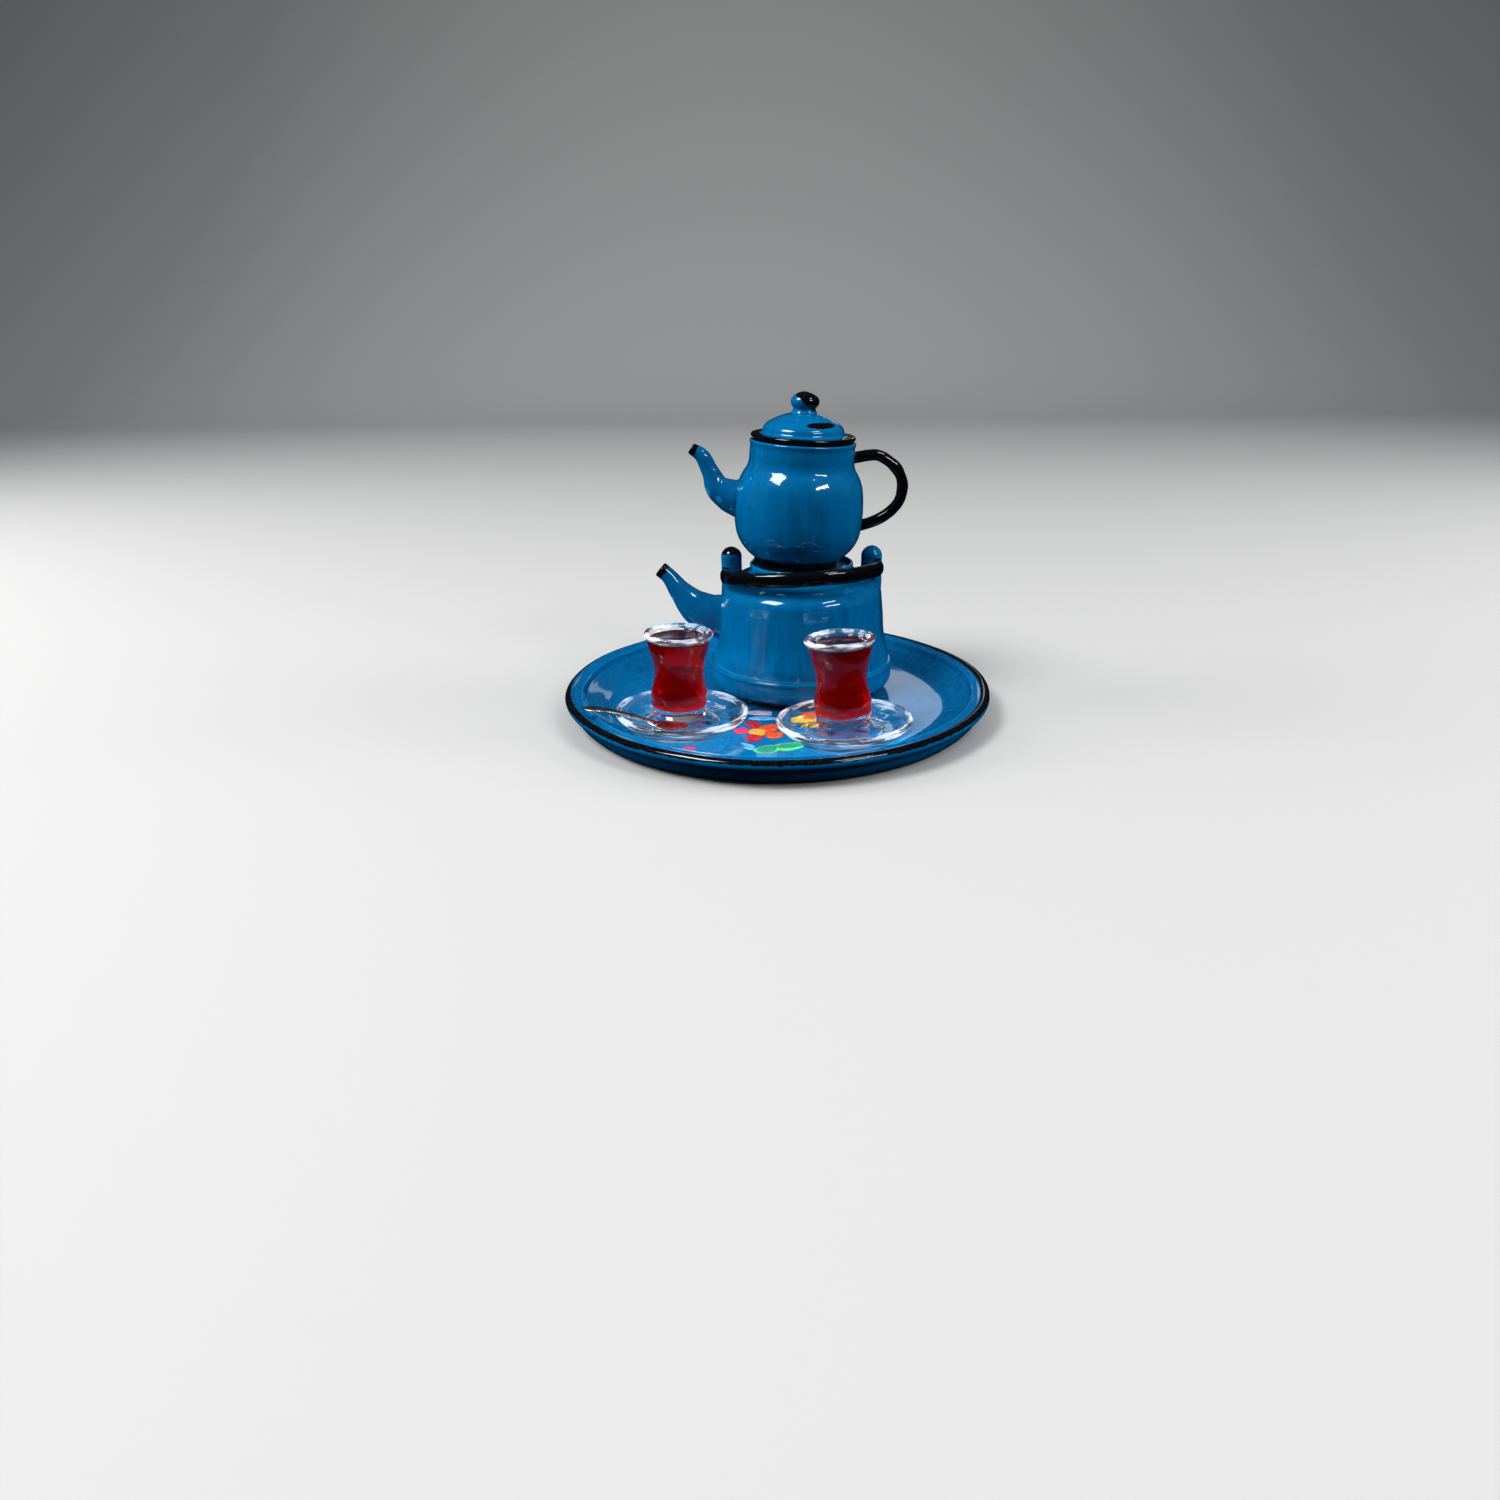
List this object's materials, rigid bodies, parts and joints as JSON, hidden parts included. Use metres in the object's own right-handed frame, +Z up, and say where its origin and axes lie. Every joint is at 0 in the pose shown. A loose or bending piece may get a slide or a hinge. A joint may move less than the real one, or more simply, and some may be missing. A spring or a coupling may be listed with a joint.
{
  "type": "miniature tea set",
  "caption": "Miniature enamelled tea set on a round tray: stacked kettle and teapot with tulip tea glasses on saucers and a spoon.",
  "frame": {"origin": "centre of the tray's flat underside", "axes": "+Z up; -Y is the front, where the glasses stand; +X to the viewer's right, where the teapot's handle is"},
  "size_m": [0.07, 0.07, 0.05],
  "materials": {
    "enamel_blue": "glossy blue enamel with slight orange peel",
    "enamel_black": "glossy hand-painted black enamel",
    "pin_steel": "plain steel rivet",
    "clear_glass": "clear blown glass with a thick bright lip",
    "tea_red": "clear dark red resin that stands for tea",
    "spoon_silver": "bright silver plate"
  },
  "bodies": {
    "tray": {"tray": "enamel_blue"},
    "kettle": {"kettle_base": "enamel_blue", "kettle_foot_ring": "enamel_black", "kettle_body": "enamel_blue", "kettle_spout": "enamel_blue", "kettle_lug_left": "enamel_blue", "kettle_lug_right": "enamel_blue", "bail_pin_left": "pin_steel", "bail_pin_right": "pin_steel"},
    "bail": {"bail_handle": "enamel_black"},
    "teapot": {"teapot_body": "enamel_blue", "teapot_foot_ring": "enamel_black", "teapot_spout": "enamel_blue", "teapot_handle": "enamel_black"},
    "lid": {"lid": "enamel_blue", "lid_knob": "enamel_blue"},
    "saucer_left": {"saucer_left": "clear_glass"},
    "glass_left": {"glass_left": "clear_glass", "tea_left": "tea_red"},
    "saucer_right": {"saucer_right": "clear_glass"},
    "glass_right": {"glass_right": "clear_glass", "tea_right": "tea_red"},
    "spoon": {"spoon": "spoon_silver"}
  },
  "joints": [
    {"name": "kettle_lift", "type": "slide", "parent": "tray", "child": "kettle", "axis": [0, 0, 1], "range_m": [0, 0.025]},
    {"name": "bail_swing", "type": "hinge", "parent": "kettle", "child": "bail", "pos_m": [0.0042, 0.0075, 0.0215], "axis": [-0.9988, 0, -0.0489], "range_deg": [-4, 10]},
    {"name": "teapot_lift", "type": "slide", "parent": "kettle", "child": "teapot", "axis": [0, 0, 1], "range_m": [0, 0.015]},
    {"name": "lid_lift", "type": "slide", "parent": "teapot", "child": "lid", "axis": [0.0558, 0, 0.9984], "range_m": [0, 0.012]},
    {"name": "saucer_left_lift", "type": "slide", "parent": "tray", "child": "saucer_left", "axis": [0, 0, 1], "range_m": [0, 0.012]},
    {"name": "glass_left_lift", "type": "slide", "parent": "saucer_left", "child": "glass_left", "axis": [0, 0, 1], "range_m": [0, 0.015]},
    {"name": "saucer_right_lift", "type": "slide", "parent": "tray", "child": "saucer_right", "axis": [0, 0, 1], "range_m": [0, 0.012]},
    {"name": "glass_right_lift", "type": "slide", "parent": "saucer_right", "child": "glass_right", "axis": [0, 0, 1], "range_m": [0, 0.015]},
    {"name": "spoon_lift", "type": "slide", "parent": "saucer_left", "child": "spoon", "axis": [0, 0, 1], "range_m": [0, 0.01]}
  ]
}
